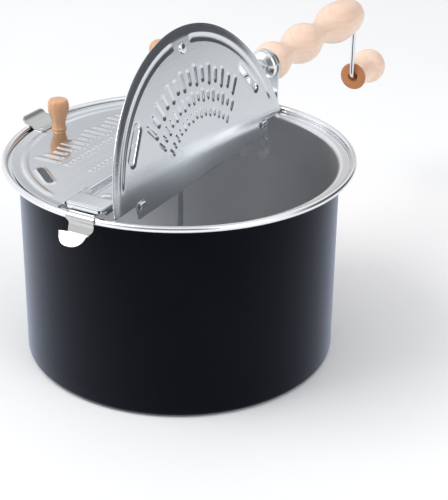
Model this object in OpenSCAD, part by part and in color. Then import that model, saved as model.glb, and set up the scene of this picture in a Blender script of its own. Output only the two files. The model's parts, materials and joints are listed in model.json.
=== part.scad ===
// Stovetop popcorn maker: a lidded pot whose crank drives a stirrer through bevel gears.
// Origin at the centre of the pot's underside. +X runs along the handle, +Z is up.

/* [Pot] */
// Radius of the circle that the rolled rim bead follows
rim_r = 124; // [115:1:150]
// Radius of the rolled rim bead's own section
bead_r = 2.3; // [2:0.1:3]
// Height of the rim bead's centre above the standing surface
rim_z = 148.2; // [120:1:190]
// Width of the flat ledge between the wall and the bead's centre
ledge_w = 9.5; // [8:0.5:14]
// Wall thickness of the pot
wall_t = 1.2; // [0.8:0.1:2]
// Floor thickness of the pot
floor_t = 2; // [1.2:0.1:4]
// Outside radius between floor and wall
base_fillet = 4; // [3:0.5:12]

/* [Lid] */
// Sheet thickness of the half-lids
lid_t = 0.7; // [0.5:0.1:1]
// Gap between the half-lid's round edge and the bead
lid_edge_gap = 2.4; // [1.6:0.2:5]
// Angle at which the right half-lid stands open
open_angle = 104; // [90:1:106]
// Distance of each hinge hook from the middle of the bridge
hook_x = 86; // [70:0.5:92]
// Width of each hinge hook
hook_w = 6; // [4:0.5:10]
// Distance of the lid knobs from the pot's axis
lid_knob_r = 105; // [90:1:108]
// Height of the lid knobs
lid_knob_h = 23; // [18:1:26]
// Largest diameter of the lid knobs
lid_knob_d = 15.8; // [12:0.2:16]
// Length of the steam slots
slot_l = 28; // [15:1:34]
// Width of the steam slots
slot_w = 5.5; // [3:0.5:6]
// Width of the catch on the left half-lid
catch_w = 26; // [15:1:32]

/* [Bridge] */
// Height of the bridge's top above the bead's centre
bridge_rise = 7; // [6.6:0.1:9]
// Width of the fixed bridge across the pot
bridge_w = 28; // [26:1:34]
// Sheet thickness of the bridge
bridge_t = 0.9; // [0.8:0.1:1.2]
// Height of the bridge's folded sides
bridge_side = 4.4; // [3.2:0.1:4.4]
// Width of the front clip
clip_w = 21.5; // [16:0.5:26]
// Sheet thickness of the front clip
clip_t = 0.8; // [0.6:0.1:1]
// How far below the bead's centre the clip's finger lobe reaches
clip_drop = 17; // [14:1:22]

/* [Handle and crank] */
// Length of the wooden handle
handle_l = 164; // [130:1:200]
// Largest diameter of the wooden handle
handle_d = 34; // [28:1:38]
// Height of the handle's axis above the bead's centre
handle_rise = 29.8; // [27:0.2:38]
// Diameter of the crank rod
rod_d = 4; // [3.5:0.1:5]
// Length of the crank's arm, axis to axis
arm_l = 61; // [45:1:80]
// Length of the crank knob
crank_knob_l = 50; // [40:1:60]
// Diameter of the crank knob's ball
crank_knob_d = 31; // [26:1:36]

/* [Gears and stirrer] */
// Teeth on the bevel pinion
pinion_teeth = 12; // [12:4:16]
// Teeth on the bevel gear
gear_teeth = 18; // [18:6:24]
// Size of a gear tooth: pitch diameter over teeth
gear_module = 0.9; // [0.7:0.05:1]
// Diameter of the stirrer shaft
shaft_d = 5; // [4:0.5:7]
// Diameter of the stirring wire
wire_d = 3; // [2:0.5:4]
// Reach of the stirring wires from the shaft's axis
wire_reach = 106; // [80:1:107]

/* [Hidden] */

round_fn = 96;      // large turned shapes
fine_fn = 40;       // small round shapes
eps = 0.01;         // overlap that joins two shapes into one
air = 0.3;          // gap between pieces that move past each other
run = 0.05;         // radial clearance of a running fit

// Pot levels
body_r = rim_r - ledge_w;
ledge_top = rim_z - bead_r + 0.6;
shoulder_r = 2;
inner_fillet = base_fillet - 1;

// Lid levels, and the hinge line that each half's hooks turn on
lid_r = rim_r - bead_r - lid_edge_gap;
lid_z = ledge_top + air;
lid_top = lid_z + lid_t;
bar_half = 1.1;
hook_inner = 1.8;
hook_t = 0.8;
hook_outer = hook_inner + hook_t;
hinge_y = bridge_w / 2 + 8;
hinge_z = lid_z + lid_t / 2;
edge_gap = 0.6;
catch_t = 0.8;
catch_rivet_r = 1.4;
hook_end = -150;
relief_x = hook_x + 6;
slot_angle = 52;
slot_r = lid_r - 19.8;
groove_r = lid_r - 9;
groove_w = 3.6;
groove_h = 0.6;
groove_from = 7;
groove_to = 66;

// Bridge levels
strap_top = rim_z + bead_r + air + clip_t;
bridge_top = rim_z + bridge_rise;
bridge_end = rim_r - 2;
wall_end = bridge_end - 5;
pan_w = 20;
pan_floor = strap_top;
lip_drop = bridge_top - strap_top - bridge_t;
lip_inset = 2.2;
pan_from = 22;
pan_to = rim_r - 20;
tongue_w = 16;
clip_rivet_x = -pan_to + 9.5;
leaf_back = clip_rivet_x + 9;

// Handle stack along X: nut, ferrule, bracket plate, wood
handle_z = rim_z + handle_rise;
bracket_t = 2;
bracket_w = 24;
bracket_x = rim_r + bead_r + 2.2;
handle_x = bracket_x + bracket_t;
handle_end = handle_x + handle_l;
ferrule_l = 7;
nut_l = 3.5;
tube_r = rod_d / 2 + run + 1.95;
tube_start = bracket_x - ferrule_l - nut_l - 1.5;
tube_flange_r = tube_r + 1.8;
tube_flange_t = 1;
saddle_z0 = rim_z - 46;
saddle_z1 = rim_z - 18;
saddle_angle = 8.5;
rivet_r = 2;

// Crank stack along X
rod_r = rod_d / 2;
bend_r = rod_d * 1.2;
arm_x = handle_end + tube_flange_t + air + bend_r;
crank_z = handle_z - arm_l;
knob_x = arm_x + rod_r + 0.6;
knob_recess_r = rod_r + 2.4;
knob_recess_l = bend_r;
retainer_r = rod_r + 2.6;
retainer_t = 1.4;
retainer_x = knob_x + crank_knob_l - 7;
rod_end = retainer_x + retainer_t + 0.6;

// Bevel gears: axes meet at (0, 0, handle_z)
pinion_pitch_r = pinion_teeth * gear_module / 2;
gear_pitch_r = gear_teeth * gear_module / 2;
cone_l = sqrt(pow(pinion_pitch_r, 2) + pow(gear_pitch_r, 2));
face_l = cone_l * 0.36;
tooth_fill = 0.4;
gear_hub_r = shaft_d / 2 + 2.6;
gear_hub_l = 4.5;
pinion_hub_r = rod_r + 1.9;
pinion_hub_l = 3.2;
gear_back = gear_module * 1.9;
ear_gap = 0.8;
ear_t = 1.5;
ear_x = gear_pitch_r + gear_back + pinion_hub_l + ear_gap;
ear_w = 12;
rod_start = -(ear_x + ear_t + 4);
collar_l = 2.6;
collar_r = rod_r + 2;
pin_r = 0.8;

// Stirrer levels
shaft_r = shaft_d / 2;
bush_r = shaft_r + run + 1.5;
bush_flange_r = bush_r + 2;
bush_flange_t = 1.2;
bush_down = 7;
hub_r = shaft_r + 3;
hub_h = 9;
hub_z = floor_t + 1.2;
wire_r = wire_d / 2;
wire_z = hub_z + wire_r + 1;
wire_bend = 12;
gear_z = handle_z - pinion_pitch_r;
shaft_top = handle_z - rod_r - 1;
bracket_base_top = bridge_top + ear_t;

// ---------- shared shapes ----------

// Points of an arc about (cx, cy) from angle a to angle b
function arc(cx, cy, r, a, b, n = 8) =
    [for (i = [0 : n]) [cx + r * cos(a + (b - a) * i / n), cy + r * sin(a + (b - a) * i / n)]];

// Cylinder along +X from x0, about the line (y, z)
module xcyl(x0, length, r, y = 0, z = 0) {
    translate([x0, y, z])
        rotate([0, 90, 0])
            cylinder(r = r, h = length, $fn = fine_fn);
}

// Plate that is a flat profile in X-Z, extruded along Y and centred on Y = 0
module xz_plate(width) {
    translate([0, width / 2, 0])
        rotate([90, 0, 0])
            linear_extrude(width)
                children();
}

// Round-ended slot outline of length l and width w, along X
module stadium(l, w) {
    square([l - w, w], center = true);
    for (s = [-1, 1])
        translate([s * (l - w) / 2, 0])
            circle(d = w, $fn = fine_fn);
}

// Domed rivet along +Z: shank from z = 0 to grip, with a head outside each end
module rivet(r, grip, head_r, head_h) {
    translate([0, 0, -head_h])
        cylinder(r = head_r, h = head_h, $fn = fine_fn);
    translate([0, 0, -eps])
        cylinder(r = r, h = grip + 2 * eps, $fn = fine_fn);
    translate([0, 0, grip])
        rotate_extrude($fn = fine_fn)
            polygon(concat([[0, 0], [head_r, 0]], [for (i = [0 : 5])
                [head_r * cos(15 + 15 * i), head_h * sin(15 + 15 * i)]]));
}

// Point on a bevel gear's pitch cone: l along the cone from its apex, h out of it
function cone_point(r, drop, l, h) = [(r * l + drop * h) / cone_l, (-drop * l + r * h) / cone_l];

// Bevel gear about +Z with its cone apex at the origin and its back below it
module bevel_gear_blank(teeth, r, drop, bore, hub, hub_l) {
    inner_l = cone_l - face_l;
    add_h = gear_module * 0.85;
    ded_h = gear_module;
    ratio = inner_l / cone_l;
    end_inset = 0.12;
    back_z = -drop - gear_back;
    root_out = cone_point(r, drop, cone_l, -ded_h);
    root_in = cone_point(r, drop, inner_l, -ded_h * ratio);
    difference() {
        union() {
            rotate_extrude($fn = round_fn)
                polygon([[0, back_z], [root_out[0], back_z], root_out, root_in, [0, root_in[1]]]);
            translate([0, 0, back_z - hub_l])
                cylinder(r = hub, h = hub_l + eps, $fn = fine_fn);
            intersection() {
                rotate_extrude($fn = round_fn)
                    polygon([cone_point(r, drop, cone_l - end_inset, -ded_h - 0.2),
                        cone_point(r, drop, cone_l - end_inset, add_h),
                        cone_point(r, drop, inner_l + end_inset, add_h * ratio),
                        cone_point(r, drop, inner_l + end_inset, -ded_h * ratio - 0.2)]);
                translate([0, 0, back_z])
                    linear_extrude(drop + gear_back)
                        for (i = [0 : teeth - 1])
                            rotate(i * 360 / teeth)
                                tooth_wedge(360 / teeth * tooth_fill, r + 4);
            }
        }
        translate([0, 0, back_z - hub_l - 1])
            cylinder(r = bore, h = drop + gear_back + hub_l + 2, $fn = fine_fn);
    }
}

// Flat wedge from the axis to radius r, as wide as one gear tooth
module tooth_wedge(angle, r) {
    polygon([[0, 0], [r * cos(angle / 2), -r * sin(angle / 2)], [r * cos(angle / 2), r * sin(angle / 2)]]);
}

// ---------- pot and handle ----------

module pot_profile() {
    shoulder_z = ledge_top - wall_t - shoulder_r;
    polygon(concat(
        [[0, 0]],
        arc(body_r - base_fillet, base_fillet, base_fillet, -90, 0),
        arc(body_r + shoulder_r, shoulder_z, shoulder_r, 180, 90),
        [[rim_r, ledge_top - wall_t], [rim_r, ledge_top]],
        arc(body_r + shoulder_r, shoulder_z, shoulder_r + wall_t, 90, 180),
        arc(body_r - wall_t - inner_fillet, floor_t + inner_fillet, inner_fillet, 0, -90),
        [[0, floor_t]]));
    translate([rim_r, rim_z])
        circle(r = bead_r, $fn = 24);
}

module bracket_rivet_places() {
    for (a = [-1, 1], z = [saddle_z0 + 8, saddle_z1 - 8])
        rotate(a * saddle_angle * 0.5)
            translate([body_r - wall_t, 0, z])
                rotate([0, 90, 0])
                    children();
}

module pot() {
    color("#15171c") difference() {
        rotate_extrude($fn = round_fn)
            pot_profile();
        bracket_rivet_places()
            translate([0, 0, -5])
                cylinder(r = rivet_r, h = 20, $fn = fine_fn);
    }
}

module handle_bracket() {
    low_z = saddle_z1 - 4;
    knee = bracket_x - body_r;
    color("silver") difference() {
        union() {
            translate([0, 0, saddle_z0])
                rotate([0, 0, -saddle_angle])
                    rotate_extrude(angle = 2 * saddle_angle, $fn = round_fn)
                        translate([body_r, 0])
                            square([bracket_t, saddle_z1 - saddle_z0]);
            xz_plate(bracket_w)
                polygon([[body_r + 0.6, low_z], [body_r + bracket_t, low_z - 1],
                    [bracket_x + bracket_t, low_z + knee - 2], [bracket_x + bracket_t, handle_z],
                    [bracket_x, handle_z], [bracket_x, low_z + knee], [body_r + 0.6, low_z + 2.4]]);
            xcyl(bracket_x, bracket_t, bracket_w / 2 + 1, 0, handle_z);
        }
        xcyl(bracket_x - 1, bracket_t + 2, tube_r, 0, handle_z);
        bracket_rivet_places()
            translate([0, 0, -5])
                cylinder(r = rivet_r, h = 20, $fn = fine_fn);
        translate([bracket_x - 1, -tongue_w / 2 - 0.3, bridge_top - bridge_t - 0.3])
            cube([bracket_t + 2, tongue_w + 0.6, bridge_t + 0.6]);
        cylinder(r = body_r, h = rim_z, $fn = round_fn);
    }
}

module bracket_rivets() {
    color("gainsboro")
        bracket_rivet_places()
            rivet(rivet_r, wall_t + bracket_t, rivet_r * 2, 1.3);
}

module handle_ferrule() {
    back = bracket_x - ferrule_l;
    color("gainsboro")
        translate([0, 0, handle_z])
            rotate([0, 90, 0])
                rotate_extrude($fn = round_fn)
                    polygon([[tube_r, back], [tube_r + 3.2, back], [12, bracket_x - 2.5],
                        [12, bracket_x], [tube_r, bracket_x]]);
}

// Radius of the turned handle at t = 0 (root) to 1 (end)
function handle_radius(t) =
    let (full = handle_d / 2, neck = full * 0.57)
    t < 0.2 ? neck + (full * 0.9 - neck) * pow(cos((t - 0.065) / 0.135 * 90), 2) :
    t < 0.57 ? neck + (full * 0.95 - neck) * pow(cos((t - 0.385) / 0.185 * 90), 2) :
    t < 0.79 ? neck + (full - neck) * pow(cos((t - 0.79) / 0.22 * 90), 2) :
    full * 0.60 + full * 0.40 * sqrt(max(0, 1 - pow((t - 0.79) / 0.21, 2)));

module wooden_handle() {
    steps = 48;
    color("#e9c39a") difference() {
        translate([handle_x, 0, handle_z])
            rotate([0, 90, 0])
                rotate_extrude($fn = round_fn)
                    polygon(concat([[0, 0]],
                        [for (i = [0 : steps]) [handle_radius(i / steps), handle_l * i / steps]],
                        [[0, handle_l]]));
        xcyl(handle_x - 1, handle_l + 2, tube_r, 0, handle_z);
    }
}

module handle_tube() {
    color("silver") difference() {
        union() {
            xcyl(tube_start, handle_end - tube_start + eps, tube_r, 0, handle_z);
            xcyl(handle_end, tube_flange_t, tube_flange_r, 0, handle_z);
        }
        xcyl(tube_start - 1, handle_end - tube_start + 4, rod_r + run, 0, handle_z);
    }
}

module tube_nut() {
    color("silver")
        translate([bracket_x - ferrule_l - nut_l, 0, handle_z])
            rotate([0, 90, 0])
                difference() {
                    cylinder(r = tube_r + 3, h = nut_l, $fn = 6);
                    translate([0, 0, -1])
                        cylinder(r = tube_r, h = nut_l + 2, $fn = fine_fn);
                }
}

// ---------- bridge, clip and gear bracket ----------

// Places the long pressed pans of the bridge, one on each side of the gears
module pan_outline(grow = 0) {
    for (s = [-1, 1])
        translate([s * (pan_from + pan_to) / 2, 0])
            stadium(pan_to - pan_from + 2 * grow, pan_w + 2 * grow);
}

// Fixed hinge hook seen along X: down from the folded side, out over the lid, and round the lid's bar
module hook_profile() {
    side = bridge_w / 2 - hinge_y;
    difference() {
        circle(r = hook_outer, $fn = fine_fn);
        circle(r = hook_inner, $fn = fine_fn);
        polygon([[0, 0], [0, hook_outer * 2], [-hook_outer * 2, hook_outer * 2],
            [2 * hook_outer * cos(hook_end), 2 * hook_outer * sin(hook_end)]]);
    }
    translate([side - bridge_t, hook_inner])
        square([bridge_t - side + eps, hook_t]);
    translate([side - bridge_t, hook_inner])
        square([bridge_t, bridge_top - bridge_side - hinge_z - hook_inner + eps]);
}

module bridge() {
    side_z = bridge_top - bridge_side;
    color("lightsteelblue") difference() {
        union() {
            difference() {
                translate([-bridge_end, -bridge_w / 2, bridge_top - bridge_t])
                    cube([2 * bridge_end, bridge_w, bridge_t]);
                translate([0, 0, bridge_top - bridge_t - 1])
                    linear_extrude(bridge_t + 2)
                        pan_outline();
            }
            difference() {
                translate([0, 0, pan_floor])
                    linear_extrude(bridge_top - pan_floor)
                        pan_outline(bridge_t);
                translate([0, 0, pan_floor + bridge_t])
                    linear_extrude(bridge_top)
                        pan_outline();
            }
            for (s = [-1, 1])
                translate([-wall_end, s * (bridge_w - bridge_t) / 2 - bridge_t / 2, side_z])
                    cube([2 * wall_end, bridge_t, bridge_side]);
            for (x = [-hook_x, hook_x], s = [0, 1])
                translate([x - hook_w / 2, 0, 0])
                    mirror([0, s, 0])
                        translate([0, hinge_y, hinge_z])
                            rotate([90, 0, 90])
                                linear_extrude(hook_w)
                                    hook_profile();
            translate([-bridge_end, lip_inset - bridge_w / 2, bridge_top - lip_drop])
                cube([bridge_t, bridge_w - 2 * lip_inset, lip_drop]);
            translate([bridge_end - eps, -tongue_w / 2, bridge_top - bridge_t])
                cube([bracket_x + bracket_t + 3 - bridge_end, tongue_w, bridge_t]);
        }
        translate([0, 0, bridge_top - 10])
            cylinder(r = bush_r, h = 20, $fn = fine_fn);
        gear_bracket_rivet_places()
            translate([0, 0, -10])
                cylinder(r = rivet_r * 0.8, h = 20, $fn = fine_fn);
        translate([clip_rivet_x, 0, bridge_top - 10])
            cylinder(r = rivet_r, h = 20, $fn = fine_fn);
    }
}

module clip_leaf() {
    crest = -rim_r + air / 2;
    color("gainsboro") difference() {
        translate([crest, -clip_w / 2 + 1, pan_floor - clip_t])
            cube([leaf_back - crest, clip_w - 2, clip_t]);
        translate([clip_rivet_x, 0, pan_floor - clip_t - 5])
            cylinder(r = rivet_r, h = 20, $fn = fine_fn);
    }
}

module clip_rivet() {
    color("gainsboro")
        translate([clip_rivet_x, 0, pan_floor - clip_t])
            rivet(rivet_r, bridge_t + clip_t, rivet_r * 2.1, 0.9);
}

// Side view of the moving half of the front clip: over the bead, in under it, then out
module hook_section() {
    near = bead_r + air;
    far = near + clip_t;
    lip = 212;
    tip_x = -rim_r - 12;
    polygon(concat(
        arc(-rim_r, rim_z, far, 93, lip, 16),
        [[-rim_r - 5.2, rim_z - 8.2], [tip_x, rim_z - clip_drop + 1.2],
         [tip_x + 0.5, rim_z - clip_drop],
         [-rim_r - 4.4, rim_z - 9.3]],
        [[-rim_r - near * 0.78, rim_z - near * 0.95]],
        arc(-rim_r, rim_z, near, lip, 94, 16)));
}

// Face view of the clip: straight strap, narrower neck, and a wide round lobe set to one side
module hook_outline() {
    half = clip_w / 2;
    lobe_r = clip_w * 0.49;
    lobe_y = clip_w * 0.16;
    lobe_z = rim_z - 9.4;
    polygon(concat(
        [[half - 0.8, rim_z + 8], [-half - 0.8, rim_z + 8], [-half - 0.8, rim_z - 4]],
        [for (i = [0 : 16]) let (a = 180 + i * 11.25)
            [lobe_y + lobe_r * cos(a), lobe_z + 0.68 * lobe_r * sin(a)]],
        [[half - 3.2, lobe_z], [half - 3.2, rim_z - 3.5], [half - 0.8, rim_z]]));
}

module front_clip() {
    color("gainsboro") intersection() {
        xz_plate(clip_w * 2)
            hook_section();
        translate([-rim_r - 20, 0, 0])
            rotate([90, 0, 90])
                linear_extrude(30)
                    hook_outline();
    }
}

module gear_bracket_rivet_places() {
    for (s = [-1, 1])
        translate([s * (ear_x - 4), 0, bridge_top - bridge_t])
            children();
}

module gear_bracket() {
    color("silver") difference() {
        union() {
            translate([-ear_x - ear_t, -ear_w / 2, bridge_top])
                cube([2 * (ear_x + ear_t), ear_w, ear_t]);
            for (s = [-1, 1])
                translate([s * (ear_x + ear_t / 2) - ear_t / 2, -ear_w / 2, bridge_top])
                    cube([ear_t, ear_w, handle_z - bridge_top]);
            for (s = [-1, 1])
                xcyl(s * (ear_x + ear_t / 2) - ear_t / 2, ear_t, ear_w / 2, 0, handle_z);
        }
        xcyl(-ear_x - 5, 2 * ear_x + 10, rod_r + run, 0, handle_z);
        translate([0, 0, bridge_top - 1])
            cylinder(r = bush_r, h = ear_t + 2, $fn = fine_fn);
        gear_bracket_rivet_places()
            translate([0, 0, -10])
                cylinder(r = rivet_r * 0.8, h = 20, $fn = fine_fn);
    }
}

module gear_bracket_rivets() {
    color("gainsboro")
        gear_bracket_rivet_places()
            rivet(rivet_r * 0.8, bridge_t + ear_t, rivet_r * 1.5, 0.9);
}

module shaft_bush() {
    color("goldenrod") difference() {
        union() {
            translate([0, 0, bridge_top - bush_down])
                cylinder(r = bush_r, h = bush_down + ear_t + eps, $fn = fine_fn);
            translate([0, 0, bracket_base_top])
                cylinder(r = bush_flange_r, h = bush_flange_t, $fn = fine_fn);
        }
        translate([0, 0, bridge_top - bush_down - 1])
            cylinder(r = shaft_r + run, h = 30, $fn = fine_fn);
    }
}

// ---------- half-lids ----------

// Outline of the left half-lid, seen from above: the round edge, the straight edge that lies under the
// bridge, and the corners cut back clear of the rim
module half_lid_outline() {
    edge_y = bridge_w / 2 + edge_gap;
    difference() {
        circle(r = lid_r, $fn = round_fn);
        translate([-lid_r - 1, -lid_r - 1])
            square([2 * lid_r + 2, lid_r + 1 + edge_y]);
        for (s = [-1, 1])
            translate([s > 0 ? relief_x : -lid_r - 1, edge_y - 1])
                square([lid_r + 1 - relief_x, hinge_y + 1.8 - edge_y + 1]);
    }
}

// Windows on both sides of the bar that a fixed hook goes round
module hinge_windows() {
    in_y = hook_outer + 0.6;
    out_y = hook_outer + 0.9;
    for (x = [-hook_x, hook_x])
        translate([x - hook_w / 2 - 0.75, hinge_y]) {
            translate([0, bar_half])
                square([hook_w + 1.5, out_y - bar_half]);
            translate([0, -in_y])
                square([hook_w + 1.5, in_y - bar_half]);
        }
}

// Left half-lid, closed. The right one is its mirror image.
module half_lid() {
    difference() {
        union() {
            translate([0, 0, lid_z])
                linear_extrude(lid_t)
                    difference() {
                        half_lid_outline();
                        hinge_windows();
                    }
            for (side = [-1, 1])
                translate([0, 0, lid_top - eps])
                    rotate([0, 0, side > 0 ? 90 + groove_from : 90 - groove_to])
                        rotate_extrude(angle = groove_to - groove_from, $fn = round_fn)
                            translate([groove_r - groove_w / 2, 0])
                                square([groove_w, groove_h]);
        }
        for (a = [-slot_angle, slot_angle])
            rotate([0, 0, 90 + a])
                translate([slot_r, 0, lid_z - 1])
                    linear_extrude(lid_t + 3)
                        rotate(90)
                            stadium(slot_l, slot_w);
        translate([0, lid_knob_r, lid_z - 1])
            cylinder(r = rivet_r, h = lid_t + 3, $fn = fine_fn);
    }
}

module lid_knob() {
    foot = lid_knob_d * 0.32;
    top = lid_knob_d / 2;
    color("#e0a468") difference() {
        translate([0, lid_knob_r, lid_top])
            rotate_extrude($fn = round_fn)
                polygon(concat([[0, 0], [foot + 0.4, 0], [foot, 1.5]],
                    [for (i = [0 : 8]) let (t = i / 8)
                        [foot - 0.3 + (top - foot + 0.3) * (1 - cos(t * 180)) / 2,
                            3 + t * (lid_knob_h - 8.5)]],
                    [for (i = [1 : 8]) let (a = i * 11.25)
                        [top - 2 + 2 * cos(a), lid_knob_h - 5.5 + 5.5 * sin(a)]],
                    [[0, lid_knob_h]]));
        translate([0, lid_knob_r, lid_top - 1])
            cylinder(r = rivet_r, h = 14, $fn = fine_fn);
    }
}

module lid_knob_screw() {
    color("gainsboro")
        translate([0, lid_knob_r, lid_z]) {
            translate([0, 0, -eps])
                cylinder(r = rivet_r, h = lid_t + 12, $fn = fine_fn);
            mirror([0, 0, 1])
                rotate_extrude($fn = fine_fn)
                    polygon(concat([[0, 0]], [for (i = [0 : 6]) [4 * cos(15 * i), 1.8 * sin(15 * i)]]));
        }
}

// Puts the left half's shape on the right, standing open
module right_open() {
    translate([0, -hinge_y, hinge_z])
        rotate([-open_angle, 0, 0])
            translate([0, hinge_y, -hinge_z])
                mirror([0, 1, 0])
                    children();
}

module left_half_lid() {
    color("lightsteelblue") difference() {
        half_lid();
        catch_rivet_places()
            translate([0, 0, -5])
                cylinder(r = catch_rivet_r, h = 10, $fn = fine_fn);
    }
}

module left_knob() { lid_knob(); }
module left_knob_screw() { lid_knob_screw(); }
module right_half_lid() { color("lightsteelblue") right_open() half_lid(); }
module right_knob() { right_open() lid_knob(); }
module right_knob_screw() { right_open() lid_knob_screw(); }

// Bent tab on the left half: from the lid, over the bead, with its lip turned up
module side_catch() {
    over = rim_z + bead_r + air;
    foot_y = lid_knob_r + 5.5;
    color("gainsboro") difference() {
        translate([-catch_w / 2, 0, 0])
            rotate([90, 0, 90])
                linear_extrude(catch_w)
                    polygon([[foot_y, lid_top], [lid_r - 1, lid_top], [rim_r - 1.4, over],
                        [rim_r + 2.5, over], [rim_r + 6.5, over + 4.2], [rim_r + 6, over + 4.8],
                        [rim_r + 2.1, over + catch_t], [rim_r - 1.8, over + catch_t],
                        [lid_r - 1.4, lid_top + catch_t], [foot_y, lid_top + catch_t]]);
        catch_rivet_places()
            translate([0, 0, -5])
                cylinder(r = catch_rivet_r, h = 10, $fn = fine_fn);
        translate([0, lid_knob_r, lid_top - 1])
            cylinder(r = lid_knob_d * 0.32 + 1, h = 4, $fn = fine_fn);
    }
}

module catch_rivet_places() {
    for (s = [-1, 1])
        translate([s * catch_w * 0.33, lid_r - 4.3, lid_z])
            children();
}

module catch_rivets() {
    color("silver")
        catch_rivet_places()
            rivet(catch_rivet_r, lid_t + catch_t, catch_rivet_r * 1.5, 0.2);
}

// ---------- crank ----------

// Quarter bend of the rod, turning from +X down to -Z about (x, z)
module rod_bend(x, z, from) {
    translate([x, 0, z])
        rotate([90, 0, 0])
            rotate([0, 0, from])
                rotate_extrude(angle = 90, $fn = round_fn)
                    translate([bend_r, 0])
                        circle(r = rod_r, $fn = fine_fn);
}

module crank_rod() {
    color("lightgray") {
        xcyl(rod_start, arm_x - bend_r - rod_start + eps, rod_r, 0, handle_z);
        rod_bend(arm_x - bend_r, handle_z - bend_r, 0);
        translate([arm_x, 0, crank_z + bend_r - eps])
            cylinder(r = rod_r, h = arm_l - 2 * bend_r + 2 * eps, $fn = fine_fn);
        rod_bend(arm_x + bend_r, crank_z + bend_r, 180);
        xcyl(arm_x + bend_r - eps, rod_end - arm_x - bend_r, rod_r, 0, crank_z);
    }
}

module bevel_pinion() {
    color("silver")
        translate([0, 0, handle_z])
            rotate([0, -90, 0])
                difference() {
                    bevel_gear_blank(pinion_teeth, pinion_pitch_r, gear_pitch_r, rod_r,
                        pinion_hub_r, pinion_hub_l);
                    translate([0, -10, -gear_pitch_r - gear_back - pinion_hub_l / 2])
                        rotate([-90, 0, 0])
                            cylinder(r = pin_r, h = 20, $fn = fine_fn);
                }
}

module pinion_pin() {
    x = gear_pitch_r + gear_back + pinion_hub_l / 2;
    color("dimgray") difference() {
        translate([x, -pinion_hub_r - 0.5, handle_z])
            rotate([-90, 0, 0])
                cylinder(r = pin_r, h = 2 * pinion_hub_r + 1, $fn = fine_fn);
        xcyl(x - 5, 10, rod_r, 0, handle_z);
    }
}

module rod_collar() {
    color("silver") difference() {
        xcyl(-ear_x - ear_t - ear_gap / 2 - collar_l, collar_l, collar_r, 0, handle_z);
        xcyl(rod_start - 5, 20, rod_r, 0, handle_z);
    }
}

// Radius of the crank knob at a distance from its flat face
function crank_knob_radius(s) =
    let (ball = crank_knob_d / 2, centre = crank_knob_l - ball, waist = ball * 0.66)
    s > centre - ball * 0.62 ? sqrt(max(0, ball * ball - pow(s - centre, 2))) :
    waist + (sqrt(1 - 0.62 * 0.62) * ball - waist) * pow(s / (centre - ball * 0.62), 2);

module crank_knob() {
    steps = 40;
    face_r = crank_knob_d * 0.39;
    color("#e9c39a") difference() {
        translate([knob_x, 0, crank_z])
            rotate([0, 90, 0])
                rotate_extrude($fn = round_fn)
                    polygon(concat([[0, 0], [face_r - 1, 0], [face_r, 0.8]],
                        [for (i = [2 : steps - 1]) let (s = crank_knob_l * i / steps)
                            [max(crank_knob_radius(s), i < 6 ? face_r - 0.3 * (i - 1) : 0), s]],
                        [[0, crank_knob_l]]));
        xcyl(knob_x - 1, crank_knob_l + 2, rod_r + run, 0, crank_z);
        xcyl(knob_x - 1, knob_recess_l + 1, knob_recess_r, 0, crank_z);
        xcyl(retainer_x - air, crank_knob_l, retainer_r + air, 0, crank_z);
    }
}

module knob_retainer() {
    color("silver") difference() {
        xcyl(retainer_x, retainer_t, retainer_r, 0, crank_z);
        xcyl(retainer_x - 1, retainer_t + 2, rod_r, 0, crank_z);
    }
}

// ---------- stirrer ----------

module bevel_gear() {
    color("silver")
        translate([0, 0, handle_z])
            rotate([0, 0, 180 / gear_teeth])
                difference() {
                    bevel_gear_blank(gear_teeth, gear_pitch_r, pinion_pitch_r, shaft_r,
                        gear_hub_r, gear_hub_l);
                    translate([0, -15, -pinion_pitch_r - gear_back - gear_hub_l / 2])
                        rotate([-90, 0, 0])
                            cylinder(r = pin_r, h = 30, $fn = fine_fn);
                }
}

module gear_pin() {
    z = gear_z - gear_back - gear_hub_l / 2;
    color("dimgray") difference() {
        rotate([0, 0, 180 / gear_teeth])
            translate([0, -gear_hub_r - 0.5, z])
                rotate([-90, 0, 0])
                    cylinder(r = pin_r, h = 2 * gear_hub_r + 1, $fn = fine_fn);
        translate([0, 0, z - 5])
            cylinder(r = shaft_r, h = 10, $fn = fine_fn);
    }
}

module stirrer_shaft() {
    color("lightgray")
        translate([0, 0, hub_z])
            cylinder(r = shaft_r, h = shaft_top - hub_z, $fn = fine_fn);
}

module shaft_collar() {
    color("silver") difference() {
        translate([0, 0, bridge_top - bush_down - ear_gap / 2 - 4])
            cylinder(r = bush_r + 1, h = 4, $fn = fine_fn);
        translate([0, 0, bridge_top - bush_down - 8])
            cylinder(r = shaft_r, h = 12, $fn = fine_fn);
    }
}

module stirrer_hub() {
    color("silver") difference() {
        translate([0, 0, hub_z])
            cylinder(r = hub_r, h = hub_h, $fn = fine_fn);
        translate([0, 0, hub_z - 1])
            cylinder(r = shaft_r, h = hub_h + 2, $fn = fine_fn);
        xcyl(-20, 40, wire_r, 0, wire_z);
    }
}

// One wire: straight out from the hub, then swept back along the wall
module stirring_wire() {
    straight = wire_reach - wire_bend;
    xcyl(shaft_r, straight - shaft_r + eps, wire_r, 0, wire_z);
    translate([straight, wire_bend, wire_z])
        rotate([0, 0, -90])
            rotate_extrude(angle = 90, $fn = round_fn)
                translate([wire_bend, 0])
                    circle(r = wire_r, $fn = 24);
    translate([straight + wire_bend, wire_bend - eps, wire_z])
        rotate([-90, 0, 0])
            cylinder(r = wire_r, h = 6, $fn = 24);
}

module stirring_wires() {
    color("lightgray")
        for (a = [0, 180])
            rotate([0, 0, a])
                stirring_wire();
}

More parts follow.
